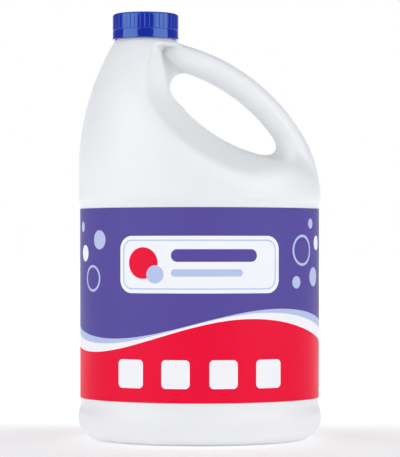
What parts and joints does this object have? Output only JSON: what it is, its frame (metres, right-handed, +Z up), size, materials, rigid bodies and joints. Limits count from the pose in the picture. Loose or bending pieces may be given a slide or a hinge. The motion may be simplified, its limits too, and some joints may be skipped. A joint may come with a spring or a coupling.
{
  "type": "bleach bottle",
  "caption": "Oval blow-moulded jug with a hollow side grip, a ribbed screw cap set off to one side and a wrap-round label, for household liquids.",
  "frame": {"origin": "middle of the ring that the bottle stands on", "axes": "+Z up, +X towards the grip, -Y towards the front of the label; the mould's parting plane is y = 0"},
  "size_m": [0.1676, 0.1448, 0.2927],
  "materials": {
    "white_hdpe": "blow-moulded satin white HDPE",
    "blue_polypropylene": "glossy dark blue injection-moulded polypropylene",
    "foam_liner": "foamed polyethylene wad",
    "printed_film": "printed and varnished film label"
  },
  "bodies": {
    "bottle": {"bottle": "white_hdpe", "label": "printed_film"},
    "liner": {"cap_liner": "foam_liner"},
    "cap": {"cap": "blue_polypropylene"}
  },
  "joints": [
    {"name": "cap_rise", "type": "slide", "parent": "bottle", "child": "liner", "axis": [0, 0, 1], "range_m": [0, 0.0064]},
    {"name": "cap_turn", "type": "hinge", "parent": "liner", "child": "cap", "pos_m": [-0.0373, 0, 0.28], "axis": [0, 0, 1], "range_deg": [0, 540]}
  ],
  "couplings": [
    {"joint": "cap_rise", "follows": "cap_turn", "m_per_rad": 0.00067376}
  ]
}
